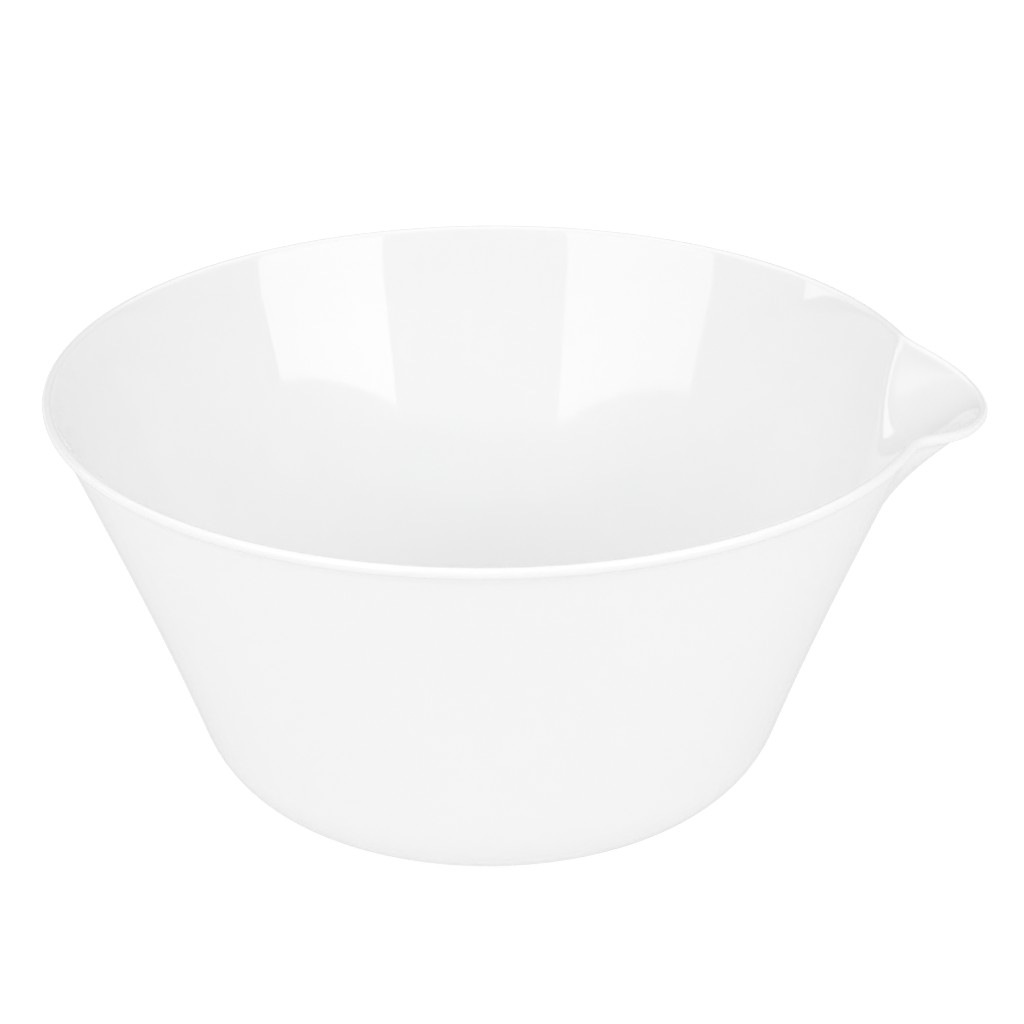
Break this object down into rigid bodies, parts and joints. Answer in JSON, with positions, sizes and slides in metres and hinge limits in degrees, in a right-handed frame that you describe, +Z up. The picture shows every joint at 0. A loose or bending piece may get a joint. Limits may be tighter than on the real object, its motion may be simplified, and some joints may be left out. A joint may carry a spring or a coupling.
{
  "type": "mixing bowl",
  "caption": "Round mixing bowl with a leaning wall, a flat base, a beaded rim and one pouring lip.",
  "frame": {"origin": "centre of the flat underside, on the bowl's axis, in the plane that it rests on", "axes": "+Z up along the bowl's axis, +X from the axis towards the pouring lip, which lies across the XZ plane"},
  "size_m": [0.2862, 0.27, 0.131],
  "materials": {
    "melamine": "white, moulded and polished to a high gloss"
  },
  "bodies": {
    "root": {"bowl": "melamine"}
  },
  "joints": []
}
